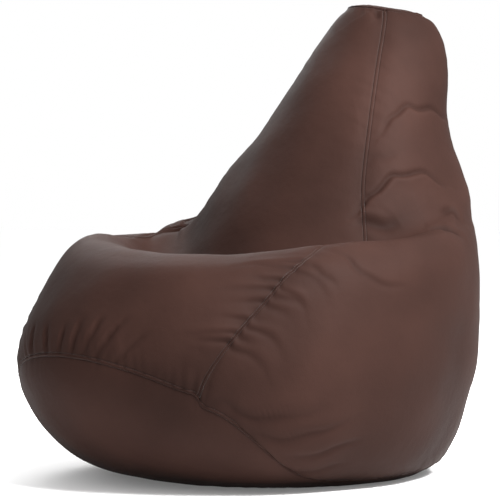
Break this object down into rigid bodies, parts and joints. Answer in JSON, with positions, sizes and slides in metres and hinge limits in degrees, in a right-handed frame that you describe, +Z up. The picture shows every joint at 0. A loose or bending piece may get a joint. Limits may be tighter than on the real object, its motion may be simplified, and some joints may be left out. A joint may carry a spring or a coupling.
{
  "type": "bean bag chair",
  "caption": "High-backed pear-shaped bean bag chair with a matte dark brown faux leather cover, inner liner, bead filling and rear zip.",
  "frame": {"origin": "on the floor under the middle of the chair's footprint, +Z up, the sitter faces -Y, the sitter's left is +X", "axes": "+Z up, -Y front, +X the sitter's left"},
  "size_m": [0.9033, 0.9835, 0.962],
  "materials": {
    "faux_leather": "matte polyurethane-coated fabric with a fine grain",
    "liner_cloth": "plain woven polyester",
    "foam_beads": "loose expanded polystyrene beads",
    "zip_nylon": "dark brown nylon",
    "zip_metal": "dark nickel"
  },
  "bodies": {
    "bag": {"cover_front_panel": "faux_leather", "cover_left_panel": "faux_leather", "cover_back_panel": "faux_leather", "cover_right_panel": "faux_leather", "cover_base_panel": "faux_leather", "cover_top_cap": "faux_leather", "liner_front_panel": "liner_cloth", "liner_left_panel": "liner_cloth", "liner_back_panel": "liner_cloth", "liner_right_panel": "liner_cloth", "liner_base_panel": "liner_cloth", "liner_top_cap": "liner_cloth", "liner_zip": "zip_nylon", "bead_fill": "foam_beads", "zip_tape_left": "zip_nylon", "zip_tape_right": "zip_nylon", "zip_coil_left": "zip_nylon", "zip_coil_right": "zip_nylon", "zip_top_stop": "zip_metal", "zip_bottom_stop": "zip_metal"},
    "slider": {"zip_slider": "zip_metal"},
    "pull": {"zip_pull_tab": "zip_metal"}
  },
  "joints": [
    {"name": "zip_slide", "type": "slide", "parent": "bag", "child": "slider", "axis": [-0.38, -0.1585, -0.9113], "range_m": [0, 0.25]},
    {"name": "pull_hinge", "type": "hinge", "parent": "slider", "child": "pull", "pos_m": [-0.09758, 0.4172, 0.90339], "axis": [0.4382, 0.8368, -0.3283], "range_deg": [0, 150]}
  ]
}
